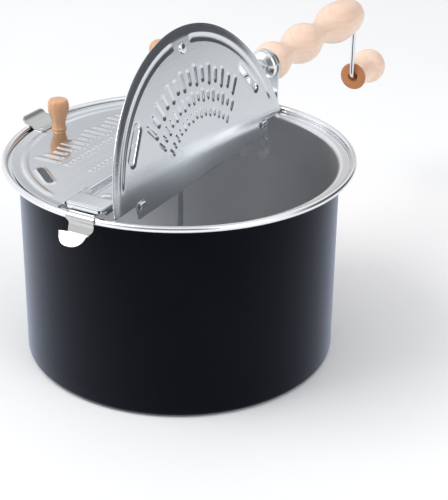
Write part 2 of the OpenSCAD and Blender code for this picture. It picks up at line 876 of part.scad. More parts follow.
pot();
handle_bracket();
bracket_rivets();
handle_ferrule();
wooden_handle();
handle_tube();
tube_nut();
bridge();
clip_leaf();
clip_rivet();
front_clip();
gear_bracket();
gear_bracket_rivets();
shaft_bush();
left_half_lid();
left_knob();
left_knob_screw();
side_catch();
catch_rivets();
right_half_lid();
right_knob();
right_knob_screw();
crank_rod();
bevel_pinion();
pinion_pin();
rod_collar();
crank_knob();
knob_retainer();
bevel_gear();
gear_pin();
stirrer_shaft();
shaft_collar();
stirrer_hub();
stirring_wires();
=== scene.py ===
import json
import math

import bmesh
import bpy
import numpy as np
from mathutils import Matrix, Vector


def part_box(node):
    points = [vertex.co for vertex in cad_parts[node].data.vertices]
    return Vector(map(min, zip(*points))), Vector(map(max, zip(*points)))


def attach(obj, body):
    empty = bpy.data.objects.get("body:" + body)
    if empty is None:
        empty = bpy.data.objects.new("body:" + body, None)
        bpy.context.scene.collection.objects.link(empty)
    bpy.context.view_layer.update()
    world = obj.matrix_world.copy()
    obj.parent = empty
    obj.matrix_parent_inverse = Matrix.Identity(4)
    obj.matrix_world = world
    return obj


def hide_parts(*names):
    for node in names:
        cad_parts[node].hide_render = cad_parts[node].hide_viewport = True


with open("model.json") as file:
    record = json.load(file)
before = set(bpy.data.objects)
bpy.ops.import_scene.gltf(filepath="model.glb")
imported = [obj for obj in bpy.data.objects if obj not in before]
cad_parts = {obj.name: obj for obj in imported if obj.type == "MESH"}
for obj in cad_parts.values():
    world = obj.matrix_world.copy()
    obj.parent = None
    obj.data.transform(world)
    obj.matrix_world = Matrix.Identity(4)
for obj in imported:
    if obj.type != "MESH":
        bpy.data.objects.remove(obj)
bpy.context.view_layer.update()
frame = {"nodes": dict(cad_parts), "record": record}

# ---------- sizes, in metres, from the CAD nodes and the joints ----------

MM = 0.001
joints = {j["name"]: j for j in frame["record"]["behaviour"]["joints"]}

pot_low, pot_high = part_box("pot")
BEAD_R = 2.3 * MM
RIM_R = pot_high.x - BEAD_R
RIM_Z = pot_high.z - BEAD_R
LEDGE_W = 9.5 * MM
BODY_R = RIM_R - LEDGE_W
WALL_T = 1.2 * MM
FLOOR_T = 2 * MM
BASE_FILLET = 4 * MM
SHOULDER_R = 2 * MM
LEDGE_TOP = RIM_Z - BEAD_R + 0.6 * MM

AIR = 0.3 * MM
LID_T = 0.7 * MM
LID_TOP = LEDGE_TOP + AIR + LID_T
LID_R = RIM_R - BEAD_R - 2.4 * MM
LID_EDGE_Y = 14.6 * MM
KNOB_HEAD_R = 7.9 * MM
KNOB_FOOT_R = 5.1 * MM
KNOB_H = 23 * MM
KNOB_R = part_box("left_knob")[1].y - KNOB_HEAD_R
SCREW_HOLE_R = 2.05 * MM
HINGE_Y = joints["left_lid_hinge"]["pos_m"][1]
HINGE_Z = joints["left_lid_hinge"]["pos_m"][2]
OPEN_ANGLE = math.radians(joints["right_lid_hinge"]["range_deg"][1])
HOOK_X = 86 * MM
HOOK_W = 6 * MM
HOOK_T = 0.8 * MM
HOOK_R = 2.6 * MM
BAR_HALF = 1.1 * MM

bridge_low, bridge_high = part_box("bridge")
BRIDGE_TOP = bridge_high.z
BRIDGE_T = 0.9 * MM
BRIDGE_SIDE = 4.4 * MM
BRIDGE_END = -bridge_low.x
BRIDGE_HALF = 14 * MM
WALL_END = BRIDGE_END - 5 * MM
LIP_INSET = 2.2 * MM
STRAP_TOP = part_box("clip_leaf")[1].z
CLIP_T = 0.8 * MM

ROD_Z = joints["crank_turn"]["pos_m"][2]
ROD_R = 2 * MM
KNOB_AXIS_Z = joints["crank_knob_spin"]["pos_m"][2]


# ---------- small helpers ----------

def arc(cx, cy, r, start, end, n=10):
    """Points of an arc about (cx, cy), angles in degrees."""
    steps = [math.radians(start + (end - start) * i / n) for i in range(n + 1)]
    return [(cx + r * math.cos(a), cy + r * math.sin(a)) for a in steps]


def smooth(edge0, edge1, x):
    """0 below edge0, 1 above edge1, and a smooth step between. Works on arrays."""
    t = np.clip((x - edge0) / (edge1 - edge0), 0, 1)
    return t * t * (3 - 2 * t)


def finish_mesh(name, bm, sharp=35, matrix=None):
    """Turns a bmesh into an object with smooth shading, sharp where faces meet at a steep angle."""
    if matrix is not None:
        bm.transform(matrix)
        if matrix.determinant() < 0:
            bmesh.ops.reverse_faces(bm, faces=bm.faces)
    mesh = bpy.data.meshes.new(name)
    bm.to_mesh(mesh)
    bm.free()
    obj = bpy.data.objects.new(name, mesh)
    bpy.context.scene.collection.objects.link(obj)
    shade(obj, sharp)
    return obj


def shade(obj, sharp):
    """Smooth shading, sharp where faces meet at more than sharp degrees."""
    for poly in obj.data.polygons:
        poly.use_smooth = True
    obj.data.set_sharp_from_angle(angle=math.radians(sharp))


def apply_modifiers(obj):
    """Replaces the object's mesh by its evaluated one and drops the modifiers."""
    bpy.context.view_layer.update()
    graph = bpy.context.evaluated_depsgraph_get()
    mesh = bpy.data.meshes.new_from_object(obj.evaluated_get(graph))
    obj.modifiers.clear()
    obj.data = mesh


def along_x(x, y, z):
    """Matrix that lays a lathe's axis along +X, from the point (x, y, z)."""
    return Matrix.Translation((x, y, z)) @ Matrix.Rotation(math.radians(90), 4, "Y")


def lathe(name, profile, matrix, segments=128, sharp=35, slots=None):
    """Turns a profile of (height, radius) points about an axis. slots gives each band's material slot."""
    bm = bmesh.new()
    rings = []
    for height, radius in profile:
        if radius < 1e-7:
            rings.append([bm.verts.new((0, 0, height))])
            continue
        angles = [2 * math.pi * i / segments for i in range(segments)]
        rings.append([bm.verts.new((radius * math.cos(a), radius * math.sin(a), height)) for a in angles])
    for k, (lower, upper) in enumerate(zip(rings, rings[1:])):
        for i in range(segments):
            j = (i + 1) % segments
            corners = [lower[i % len(lower)], lower[j % len(lower)]]
            corners += [upper[j % len(upper)], upper[i % len(upper)]]
            corners = [v for n, v in enumerate(corners) if v not in corners[:n]]
            if len(corners) > 2:
                face = bm.faces.new(corners)
                face.material_index = slots[k] if slots else 0
    bmesh.ops.recalc_face_normals(bm, faces=bm.faces)
    return finish_mesh(name, bm, sharp, matrix)


def sweep(name, path, radius, sides=24, sharp=50):
    """Round rod with flat ends along a path of points in the XZ plane."""
    bm = bmesh.new()
    rings = []
    points = [Vector(p) for p in path]
    side = Vector((0, 1, 0))
    for i, p in enumerate(points):
        ahead = points[min(i + 1, len(points) - 1)] - points[max(i - 1, 0)]
        forward = ahead.normalized()
        up = side.cross(forward).normalized()
        ring = []
        for k in range(sides):
            a = 2 * math.pi * k / sides
            ring.append(bm.verts.new(p + radius * (math.cos(a) * side + math.sin(a) * up)))
        rings.append(ring)
    for lower, upper in zip(rings, rings[1:]):
        for k in range(sides):
            bm.faces.new((lower[k], lower[(k + 1) % sides], upper[(k + 1) % sides], upper[k]))
    bm.faces.new(rings[0])
    bm.faces.new(rings[-1])
    bmesh.ops.recalc_face_normals(bm, faces=bm.faces)
    return finish_mesh(name, bm, sharp)


def strip(name, path, sides, thickness, bevel=0.15 * MM, columns=14, matrix=None):
    """Bent sheet. path holds (x, z) points, sides the (low y, high y) of the sheet at each point.
    The path is the sheet's outer face: it heads for +X with the sheet's thickness below it."""
    bm = bmesh.new()
    rows = []
    for (x, z), (low, high) in zip(path, sides):
        row = [bm.verts.new((x, low + (high - low) * k / columns, z)) for k in range(columns + 1)]
        rows.append(row)
    for a, b in zip(rows, rows[1:]):
        for k in range(columns):
            bm.faces.new((a[k], b[k], b[k + 1], a[k + 1]))
    obj = finish_mesh(name, bm, 30, matrix)
    thicken(obj, thickness, bevel)
    return obj


def thicken(obj, thickness, bevel, cutters=()):
    """Gives a sheet its thickness below its faces, cuts holes, and breaks the sharp edges."""
    solid = obj.modifiers.new("thickness", "SOLIDIFY")
    solid.thickness = thickness
    solid.offset = -1
    solid.use_even_offset = True
    apply_modifiers(obj)
    for cutter in cutters:
        cut = obj.modifiers.new("cut", "BOOLEAN")
        cut.object = cutter
        cut.solver = "EXACT"
        apply_modifiers(obj)
    for cutter in cutters:
        bpy.data.objects.remove(cutter)
    edge = obj.modifiers.new("edge", "BEVEL")
    edge.width = bevel
    edge.segments = 2
    edge.limit_method = "ANGLE"
    edge.angle_limit = math.radians(50)
    apply_modifiers(obj)
    shade(obj, 40)


def prism(outline, low, high):
    """Closed upright prism: a cutter, or a plain flat piece."""
    bm = bmesh.new()
    base = [bm.verts.new((x, y, low)) for x, y in outline]
    top = [bm.verts.new((x, y, high)) for x, y in outline]
    bm.faces.new(base)
    bm.faces.new(top)
    for i in range(len(base)):
        j = (i + 1) % len(base)
        bm.faces.new((base[i], base[j], top[j], top[i]))
    bmesh.ops.recalc_face_normals(bm, faces=bm.faces)
    return finish_mesh("cutter", bm)


def stadium(cx, cy, length, width, angle):
    """Outline of a round-ended slot, turned by angle in degrees."""
    half = (length - width) / 2
    points = arc(half, 0, width / 2, -90, 90, 12) + arc(-half, 0, width / 2, 90, 270, 12)
    c, s = math.cos(math.radians(angle)), math.sin(math.radians(angle))
    return [(cx + x * c - y * s, cy + x * s + y * c) for x, y in points]


def box_outline(x0, y0, x1, y1):
    """Corners of a rectangle."""
    return [(x0, y0), (x1, y0), (x1, y1), (x0, y1)]


# ---------- materials ----------

class Shader:
    """A material under construction: short calls that add nodes and link them."""

    def __init__(self, name):
        self.mat = bpy.data.materials.new(name)
        self.mat.use_nodes = True
        self.tree = self.mat.node_tree
        self.bsdf = self.tree.nodes["Principled BSDF"]
        self.coord = self.tree.nodes.new("ShaderNodeTexCoord").outputs["Object"]

    def set(self, **values):
        for key, value in values.items():
            self.bsdf.inputs[key.replace("_", " ")].default_value = value

    def link(self, source, target):
        self.tree.links.new(source, target)

    def mapping(self, scale, turn=(0, 0, 0), move=(0, 0, 0)):
        node = self.tree.nodes.new("ShaderNodeMapping")
        node.inputs["Scale"].default_value = scale
        node.inputs["Rotation"].default_value = turn
        node.inputs["Location"].default_value = move
        self.link(self.coord, node.inputs["Vector"])
        return node.outputs["Vector"]

    def noise(self, vector, scale=1.0, detail=4.0, rough=0.5, distortion=0.0):
        node = self.tree.nodes.new("ShaderNodeTexNoise")
        node.inputs["Scale"].default_value = scale
        node.inputs["Detail"].default_value = detail
        node.inputs["Roughness"].default_value = rough
        node.inputs["Distortion"].default_value = distortion
        self.link(vector, node.inputs["Vector"])
        return node.outputs["Fac"]

    def math(self, operation, a, b=None):
        node = self.tree.nodes.new("ShaderNodeMath")
        node.operation = operation
        for socket, value in zip(node.inputs, (a, b)):
            if isinstance(value, (int, float)):
                socket.default_value = value
            elif value is not None:
                self.link(value, socket)
        return node.outputs[0]

    def ramp(self, factor, stops):
        node = self.tree.nodes.new("ShaderNodeValToRGB")
        elements = node.color_ramp.elements
        while len(elements) < len(stops):
            elements.new(0.5)
        for element, (place, color) in zip(elements, stops):
            element.position = place
            element.color = (*color, 1)
        self.link(factor, node.inputs["Fac"])
        return node.outputs["Color"]

    def span(self, factor, low, high):
        """Maps a 0 to 1 factor to low to high."""
        node = self.tree.nodes.new("ShaderNodeMapRange")
        node.inputs["To Min"].default_value = low
        node.inputs["To Max"].default_value = high
        self.link(factor, node.inputs["Value"])
        return node.outputs["Result"]

    def bump(self, height, strength, distance):
        node = self.tree.nodes.new("ShaderNodeBump")
        node.inputs["Strength"].default_value = strength
        node.inputs["Distance"].default_value = distance
        self.link(height, node.inputs["Height"])
        self.link(node.outputs["Normal"], self.bsdf.inputs["Normal"])


def enamel():
    """Smooth black coating with the faintest orange peel and hairline dust."""
    s = Shader("black_enamel")
    s.set(Roughness=0.3, Specular_IOR_Level=0.03, Sheen_Weight=1.0, Sheen_Roughness=0.35)
    s.set(Sheen_Tint=(0.62, 0.70, 0.88, 1.0))
    tone = s.noise(s.coord, 22, 3)
    s.link(s.ramp(tone, [(0.3, (0.0008, 0.0010, 0.0022)), (0.7, (0.0016, 0.0019, 0.0038))]),
           s.bsdf.inputs["Base Color"])
    s.link(s.span(s.noise(s.coord, 55, 5, 0.6), 0.24, 0.36), s.bsdf.inputs["Roughness"])
    s.bump(s.noise(s.coord, 520, 2), 0.10, 0.0004)
    return s.mat


def spun_metal(name, color, rough, lines=900):
    """Metal turned or drawn about the pot's axis: fine rings and slight smears."""
    s = Shader(name)
    s.set(Metallic=1.0)
    split = s.tree.nodes.new("ShaderNodeSeparateXYZ")
    s.link(s.coord, split.inputs["Vector"])
    radius = s.math("SQRT", s.math("ADD", s.math("MULTIPLY", split.outputs["X"], split.outputs["X"]),
                                   s.math("MULTIPLY", split.outputs["Y"], split.outputs["Y"])))
    angle = s.math("ARCTAN2", split.outputs["Y"], split.outputs["X"])
    join = s.tree.nodes.new("ShaderNodeCombineXYZ")
    s.link(s.math("MULTIPLY", radius, float(lines)), join.inputs["X"])
    s.link(s.math("MULTIPLY", split.outputs["Z"], float(lines)), join.inputs["Y"])
    s.link(s.math("MULTIPLY", angle, 1.5), join.inputs["Z"])
    rings = s.noise(join.outputs["Vector"], 1.0, 4, 0.6)
    smear = s.noise(s.coord, 30, 3)
    s.link(s.ramp(s.math("MULTIPLY", s.math("ADD", rings, smear), 0.5),
                  [(0.3, tuple(c * 0.93 for c in color)), (0.7, color)]), s.bsdf.inputs["Base Color"])
    s.link(s.span(s.math("ADD", s.math("MULTIPLY", rings, 0.6), s.math("MULTIPLY", smear, 0.4)),
                  rough * 0.75, rough * 1.3), s.bsdf.inputs["Roughness"])
    s.bump(rings, 0.06, 0.0002)
    return s.mat


def sheet_metal(name, color, rough, grain=(6, 260, 260), wear=0.5):
    """Rolled sheet: long fine grain, cloudy smears and a few small handling marks."""
    s = Shader(name)
    s.set(Metallic=1.0)
    lines = s.noise(s.mapping(grain), 4.0, 5, 0.65)
    cloud = s.noise(s.coord, 28, 4, 0.55, 0.6)
    marks = s.noise(s.mapping((180, 60, 120), (0.3, 0.5, 0.9)), 5.0, 6, 0.7)
    mixed = s.math("MULTIPLY", s.math("ADD", lines, cloud), 0.5)
    dull = tuple(c * 0.88 for c in color)
    s.link(s.ramp(mixed, [(0.25, dull), (0.75, color)]), s.bsdf.inputs["Base Color"])
    blend = s.math("ADD", s.math("MULTIPLY", cloud, 0.65), s.math("MULTIPLY", marks, 0.35 * wear + 0.1))
    s.link(s.span(blend, rough * 0.6, rough * 1.4), s.bsdf.inputs["Roughness"])
    s.bump(lines, 0.10, 0.0002)
    return s.mat


def wood(name, pale, warm, line, axis="X", centre=(0, 0.05, 0.02), gloss=0.34):
    """Turned hardwood: growth rings round an off-centre heart, long pores and a satin lacquer."""
    s = Shader(name)
    s.set(Coat_Weight=0.25, Coat_Roughness=0.2, Specular_IOR_Level=0.45)
    stretch = {"X": (0.18, 1, 1), "Z": (1, 1, 0.18)}[axis]
    along = s.mapping(stretch, move=tuple(-c for c in centre))
    wobble = s.noise(s.mapping(stretch), 26, 3, 0.5)
    split = s.tree.nodes.new("ShaderNodeSeparateXYZ")
    s.link(along, split.inputs["Vector"])
    a, b = {"X": ("Y", "Z"), "Z": ("X", "Y")}[axis]
    square = s.math("ADD", s.math("MULTIPLY", split.outputs[a], split.outputs[a]),
                    s.math("MULTIPLY", split.outputs[b], split.outputs[b]))
    ring = s.math("ADD", s.math("MULTIPLY", s.math("SQRT", square), 230.0), s.math("MULTIPLY", wobble, 2.6))
    band = s.math("FRACT", ring)
    fibre_scale = {"X": (12, 300, 300), "Z": (300, 300, 12)}[axis]
    fibre = s.noise(s.mapping(fibre_scale), 3.5, 5, 0.65)
    patch = s.noise(s.mapping(tuple(12 * c for c in stretch)), 2.2, 3)
    tone = s.math("ADD", s.math("MULTIPLY", s.math("POWER", band, 2.2), 0.13),
                  s.math("ADD", s.math("MULTIPLY", fibre, 0.42), s.math("MULTIPLY", patch, 0.34)))
    s.link(s.ramp(tone, [(0.18, pale), (0.55, warm), (0.92, line)]), s.bsdf.inputs["Base Color"])
    s.link(s.span(fibre, gloss * 0.85, gloss * 1.25), s.bsdf.inputs["Roughness"])
    s.bump(fibre, 0.16, 0.0003)
    return s.mat


def end_grain(name, pale, dark, heart):
    """Sawn end of the same wood: close rings crossed by fine rays, darker than the sides."""
    s = Shader(name)
    s.set(Specular_IOR_Level=0.3)
    split = s.tree.nodes.new("ShaderNodeSeparateXYZ")
    s.link(s.mapping((1, 1, 1), move=(0, -heart[0], -heart[1])), split.inputs["Vector"])
    square = s.math("ADD", s.math("MULTIPLY", split.outputs["Y"], split.outputs["Y"]),
                    s.math("MULTIPLY", split.outputs["Z"], split.outputs["Z"]))
    band = s.math("FRACT", s.math("ADD", s.math("MULTIPLY", s.math("SQRT", square), 420.0),
                                  s.math("MULTIPLY", s.noise(s.coord, 60, 3), 1.6)))
    pores = s.noise(s.coord, 1500, 3, 0.6)
    tone = s.math("ADD", s.math("MULTIPLY", band, 0.5), s.math("MULTIPLY", pores, 0.5))
    s.link(s.ramp(tone, [(0.2, pale), (0.85, dark)]), s.bsdf.inputs["Base Color"])
    s.link(s.span(pores, 0.5, 0.7), s.bsdf.inputs["Roughness"])
    s.bump(pores, 0.25, 0.0003)
    return s.mat


def floor_material():
    s = Shader("floor_paper")
    s.set(Roughness=0.75, Specular_IOR_Level=0.2)
    s.link(s.ramp(s.noise(s.coord, 3, 2), [(0.3, (0.93, 0.93, 0.93)), (0.7, (0.95, 0.95, 0.95))]),
           s.bsdf.inputs["Base Color"])
    return s.mat


BLACK = enamel()
BARE = spun_metal("bare_aluminium", (0.92, 0.93, 0.94), 0.42)
RIM_METAL = spun_metal("polished_rim", (0.90, 0.91, 0.92), 0.16, 300)
LID_METAL = sheet_metal("stainless_lid", (0.81, 0.84, 0.87), 0.14)
CLIP_METAL = sheet_metal("spring_clip", (0.60, 0.60, 0.59), 0.20, (260, 6, 260))
PLAIN_METAL = sheet_metal("formed_steel", (0.74, 0.75, 0.77), 0.26, (200, 200, 8))
BRIGHT_METAL = sheet_metal("bright_aluminium", (0.88, 0.89, 0.90), 0.2, (120, 120, 120))
CHROME = sheet_metal("plated_rod", (0.84, 0.86, 0.88), 0.10, (10, 220, 220), 0.2)
GEAR_METAL = sheet_metal("machined_steel", (0.60, 0.61, 0.63), 0.3, (300, 300, 300))
BRASS = sheet_metal("turned_brass", (0.83, 0.62, 0.28), 0.24, (300, 300, 40))
HANDLE_WOOD = wood("pale_wood", (0.96, 0.77, 0.64), (0.90, 0.61, 0.45), (0.74, 0.38, 0.22))
KNOB_WOOD = wood("tan_wood", (0.78, 0.45, 0.25), (0.68, 0.34, 0.17), (0.48, 0.20, 0.09),
                 "Z", (0.03, 0.02, 0))
OPEN_KNOB_WOOD = wood("tan_wood_open", (0.78, 0.45, 0.25), (0.68, 0.34, 0.17), (0.48, 0.20, 0.09),
                      "X", (0, 0.03, 0.03))
END_WOOD = end_grain("end_grain", (0.62, 0.28, 0.13), (0.42, 0.16, 0.06), (0.01, 0.02))


# ---------- pot ----------

def make_pot():
    """Pressed pot: wall, floor, lid ledge and rolled rim bead, enamel outside and plain inside."""
    shoulder_z = LEDGE_TOP - WALL_T - SHOULDER_R
    inner_fillet = BASE_FILLET - 1 * MM
    black = [(0, 0), (BODY_R - 40 * MM, 0)]
    black += arc(BODY_R - BASE_FILLET, BASE_FILLET, BASE_FILLET, -90, 0)
    black += [(BODY_R, BASE_FILLET + (shoulder_z - BASE_FILLET) * i / 12) for i in range(1, 12)]
    black += arc(BODY_R + SHOULDER_R, shoulder_z, SHOULDER_R, 180, 90)
    rim = [(RIM_R - 0.4 * MM, LEDGE_TOP - WALL_T)]
    rim += arc(RIM_R, RIM_Z, BEAD_R, -62, 227, 28)
    inside = arc(BODY_R + SHOULDER_R, shoulder_z, SHOULDER_R + WALL_T, 90, 180)
    inside += [(BODY_R - WALL_T, shoulder_z - (shoulder_z - 8 * MM) * i / 12) for i in range(1, 12)]
    inside += arc(BODY_R - WALL_T - inner_fillet, FLOOR_T + inner_fillet, inner_fillet, 0, -90)
    inside += [(BODY_R * k / 6, FLOOR_T) for k in (5, 4, 3, 2, 1)] + [(0, FLOOR_T)]
    points = black + rim + inside
    slots = [0] * (len(black) - 1) + [1] * (len(rim) + 1) + [2] * (len(inside) - 1)
    pot = lathe("pot_shell", [(z, r) for r, z in points], Matrix.Identity(4), 192, 40, slots)
    for material in (BLACK, RIM_METAL, BARE):
        pot.data.materials.append(material)
    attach(pot, "pot_body")
    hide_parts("pot")


# ---------- half-lids ----------

SLOT_ANGLE = 52
SLOT_R = LID_R - 19.8 * MM
SLOT_L = 28 * MM
SLOT_W = 5.5 * MM
GROOVE_R = LID_R - 9 * MM


def straight_marks():
    """Stamped ovals of the closed half in three straight rows, as (x, y, half length, direction)."""
    marks = []
    half_row = 54
    for y, count, lengths in ((76.5, 15, (8.5, 6.0, 3.5, 6.0)), (59, 23, (2.0, 1.2)), (39, 21, (1.3, 0.8))):
        for i in range(count):
            x = -half_row + 2 * half_row * i / (count - 1)
            marks.append((x * MM, y * MM, lengths[i % len(lengths)] * MM, math.pi / 2))
    return marks


def arched_marks():
    """Stamped ovals of the open half in three arched rows, as (x, y, half length, direction)."""
    marks = []
    rows = ((84, 42, 15, (5.5, 3.5)), (69, 44, 17, (3.0, 1.6)), (57, 42, 15, (1.8, 1.0)))
    for radius, reach, count, lengths in rows:
        for i in range(count):
            a = math.radians(90 - reach + 2 * reach * i / (count - 1))
            marks.append((radius * MM * math.cos(a), radius * MM * math.sin(a), lengths[i % 2] * MM, a))
    return marks


def lid_height(x, y, marks):
    """How far the stamped sheet stands above its flat, at points of the closed left half."""
    radius = np.hypot(x, y)
    turn = np.abs(np.degrees(np.arctan2(x, y)))
    arcs = smooth(5.5, 8.0, turn) * (1 - smooth(66, 71, turn))
    ring = smooth(GROOVE_R - 3.2 * MM, GROOVE_R - 1.6 * MM, radius)
    ring = ring * (1 - smooth(GROOVE_R + 0.6 * MM, GROOVE_R + 2.2 * MM, radius))
    height = 0.6 * MM * ring * arcs
    height = height + 0.5 * MM * smooth(GROOVE_R + 1.8 * MM, LID_R, radius)
    for side in (-1, 1):
        a = math.radians(90 + side * SLOT_ANGLE)
        dx, dy = x - SLOT_R * math.cos(a), y - SLOT_R * math.sin(a)
        across = dx * math.cos(a) + dy * math.sin(a)
        along = np.abs(-dx * math.sin(a) + dy * math.cos(a))
        beyond = np.maximum(along - (SLOT_L - SLOT_W) / 2, 0)
        gap = np.hypot(across, beyond) - SLOT_W / 2
        height = height + 0.5 * MM * (1 - smooth(0.3 * MM, 2.2 * MM, gap))
    for cx, cy, long, a in marks:
        along = np.abs((x - cx) * math.cos(a) + (y - cy) * math.sin(a))
        across = -(x - cx) * math.sin(a) + (y - cy) * math.cos(a)
        gap = np.hypot(np.maximum(along - long, 0), across)
        wide = 1.1 * MM if long > 3 * MM else 0.5 * MM
        height = np.maximum(height, 0.58 * MM * (1 - smooth(wide, wide + 1.1 * MM, gap)))
    return height


def lid_sheet_bmesh(marks):
    """Half disc of the closed left half, its faces on the sheet's top, with all stamped relief."""
    bm = bmesh.new()
    inner = 12 * MM
    radii = [inner + (33 * MM - inner) * i / 8 for i in range(8)]
    radii += [33 * MM + (LID_R - 33 * MM) * i / 112 for i in range(113)]
    columns = 360
    grid = []
    for radius in radii:
        angles = [math.pi * k / columns for k in range(columns + 1)]
        grid.append([bm.verts.new((radius * math.cos(a), radius * math.sin(a), LID_TOP)) for a in angles])
    for a, b in zip(grid, grid[1:]):
        for k in range(columns):
            bm.faces.new((a[k], b[k], b[k + 1], a[k + 1]))
    bmesh.ops.bisect_plane(bm, geom=bm.verts[:] + bm.edges[:] + bm.faces[:],
                           plane_co=(0, LID_EDGE_Y, 0), plane_no=(0, -1, 0), clear_outer=True)
    loose = [v for v in bm.verts if not v.link_faces]
    bmesh.ops.delete(bm, geom=loose, context="VERTS")
    places = np.array([v.co for v in bm.verts])
    heights = lid_height(places[:, 0], places[:, 1], marks)
    for vertex, height in zip(bm.verts, heights):
        vertex.co.z += float(height)
    return bm


def lid_cutters():
    """Openings of a half-lid: steam slots, the windows at the hinge and the screw hole."""
    low, high = LID_TOP - 3 * MM, LID_TOP + 3 * MM
    cutters = []
    for side in (-1, 1):
        a = math.radians(90 + side * SLOT_ANGLE)
        outline = stadium(SLOT_R * math.cos(a), SLOT_R * math.sin(a), SLOT_L, SLOT_W, math.degrees(a) + 90)
        cutters.append(prism(outline, low, high))
        near, far = side * (HOOK_X + 6 * MM), side * (LID_R + 5 * MM)
        cutters.append(prism(box_outline(min(near, far), 0, max(near, far), HINGE_Y + 1.8 * MM), low, high))
        half = HOOK_W / 2 + 0.75 * MM
        x = side * HOOK_X
        for y0, y1 in ((BAR_HALF, HOOK_R + 0.9 * MM), (-HOOK_R - 0.6 * MM, -BAR_HALF)):
            cutters.append(prism(box_outline(x - half, HINGE_Y + y0, x + half, HINGE_Y + y1), low, high))
    cutters.append(prism(arc(0, KNOB_R, SCREW_HOLE_R, 0, 345, 23), low, high))
    return cutters


def joined(name, objects, matrix=None):
    """One mesh object from several, moved by matrix."""
    bm = bmesh.new()
    for obj in objects:
        bm.from_mesh(obj.data)
        bpy.data.objects.remove(obj)
    return finish_mesh(name, bm, 40, matrix)


IDENTITY = Matrix.Identity(4)


def right_matrix():
    """Takes the closed left half's shape to the open right half."""
    hinge = Matrix.Translation((0, -HINGE_Y, HINGE_Z))
    swing = Matrix.Rotation(-OPEN_ANGLE, 4, "X")
    mirror = Matrix.Scale(-1, 4, (0, 1, 0))
    return hinge @ swing @ hinge.inverted() @ mirror


def make_half_lid(name, node, body, matrix, marks):
    """One half-lid with its stamped marks, cut through and thickened, then moved by matrix."""
    plate = finish_mesh("plate", lid_sheet_bmesh(marks))
    thicken(plate, LID_T, 0.12 * MM, lid_cutters())
    lid = joined(name, [plate], matrix)
    lid.data.materials.append(LID_METAL)
    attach(lid, body)
    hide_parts(node)


def knob_profile():
    """Turned lid knob: small foot, waist, a swelling head and a flat top."""
    foot, top = KNOB_FOOT_R, KNOB_HEAD_R
    points = [(0, 0), (0, foot + 0.4 * MM), (0.7 * MM, foot + 0.5 * MM), (1.6 * MM, foot)]
    for i in range(13):
        t = i / 12
        points.append((2.6 * MM + t * (KNOB_H - 8.4 * MM),
                       foot - 0.3 * MM + (top - foot + 0.3 * MM) * (1 - math.cos(t * math.pi)) / 2))
    for degrees in range(10, 91, 8):
        a = math.radians(degrees)
        points.append((KNOB_H - 5 * MM + 5 * MM * math.sin(a), top - 2 * MM + 2 * MM * math.cos(a)))
    return points + [(KNOB_H, 0)]


def make_lid_knob(name, node, body, matrix, material):
    """A half-lid's turned knob, moved by the same matrix as its half."""
    place = Matrix.Translation((0, KNOB_R, LID_TOP))
    knob = lathe(name, knob_profile(), matrix @ place, 64, 30)
    knob.data.materials.append(material)
    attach(knob, body)
    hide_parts(node)


def make_side_catch():
    """Bent tab on the closed half, its lip turned up outside the rim."""
    t = CLIP_T
    over = RIM_Z + BEAD_R + AIR + t
    flat = LID_TOP + t
    path = [(KNOB_R + 5.6 * MM, flat), (KNOB_R + 7 * MM, flat), (LID_R - 1.6 * MM, flat),
            (LID_R - 0.9 * MM, flat + 0.25 * MM), (RIM_R - 2.2 * MM, over - 0.25 * MM)]
    past_rim = [(-1.2, 0), (1.4, 0), (2.4, 0.4), (4.2, 2.3), (5.2, 3.3), (6.0, 4.0)]
    path += [(RIM_R + out * MM, over + up * MM) for out, up in past_rim]
    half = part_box("side_catch")[1].x
    insets = [3, 0.8, 0, 0, 0, 0, 0, 0, 0.2, 1.2, 3.4]
    sides = [(-half + inset * MM, half - inset * MM) for inset in insets]
    turn = Matrix.Rotation(math.radians(90), 4, "Z")
    catch = strip("side_catch_tab", path, sides, t, 0.15 * MM, 16, turn)
    catch.data.materials.append(CLIP_METAL)
    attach(catch, "left_lid")
    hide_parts("side_catch")


# ---------- bridge and clip ----------

PAN_FROM, PAN_TO, PAN_W = 22 * MM, RIM_R - 20 * MM, 20 * MM
PAN_DEPTH = BRIDGE_TOP - BRIDGE_T - STRAP_TOP


def pan(middle):
    """Pressed pan: rings of the same round-ended outline, from the strip's flat down to the pan's floor."""
    deep = PAN_DEPTH / MM
    rings = [(0.9, 0.0), (0.5, 0.1), (0.15, 0.4), (-0.1, 0.9), (-0.4, deep - 0.9),
             (-0.75, deep - 0.35), (-1.3, deep - 0.08), (-2.1, deep), (-5, deep), (-9.3, deep)]
    bm = bmesh.new()
    loops = []
    for grow, depth in rings:
        outline = stadium(middle, 0, PAN_TO - PAN_FROM + 2 * grow * MM, PAN_W + 2 * grow * MM, 0)
        loops.append([bm.verts.new((x, y, BRIDGE_TOP - depth * MM)) for x, y in outline])
    for a, b in zip(loops, loops[1:]):
        for i in range(len(a)):
            j = (i + 1) % len(a)
            bm.faces.new((a[i], a[j], b[j], b[i]))
    bm.faces.new(loops[-1])
    obj = finish_mesh("pan", bm)
    solid = obj.modifiers.new("thickness", "SOLIDIFY")
    solid.thickness = BRIDGE_T
    solid.offset = -1
    apply_modifiers(obj)
    return obj


def hinge_hook(x, side):
    """Fixed hook: down from the folded side, out over the lid, and round the lid's bar."""
    level = HINGE_Z + HOOK_R
    path = [(BRIDGE_HALF, BRIDGE_TOP - BRIDGE_SIDE + 0.3 * MM), (BRIDGE_HALF, level + 0.5 * MM)]
    path += arc(BRIDGE_HALF + 0.5 * MM, level + 0.5 * MM, 0.5 * MM, 180, 270, 4)[1:]
    path += [(HINGE_Y - 3 * MM, level)] + arc(HINGE_Y, HINGE_Z, HOOK_R, 90, -150, 24)
    sides = [(-HOOK_W / 2, HOOK_W / 2)] * len(path)
    turn = Matrix.Translation((x, 0, 0)) @ Matrix.Rotation(math.radians(90 * side), 4, "Z")
    return strip("hook", path, sides, HOOK_T, 0.12 * MM, 6, turn)


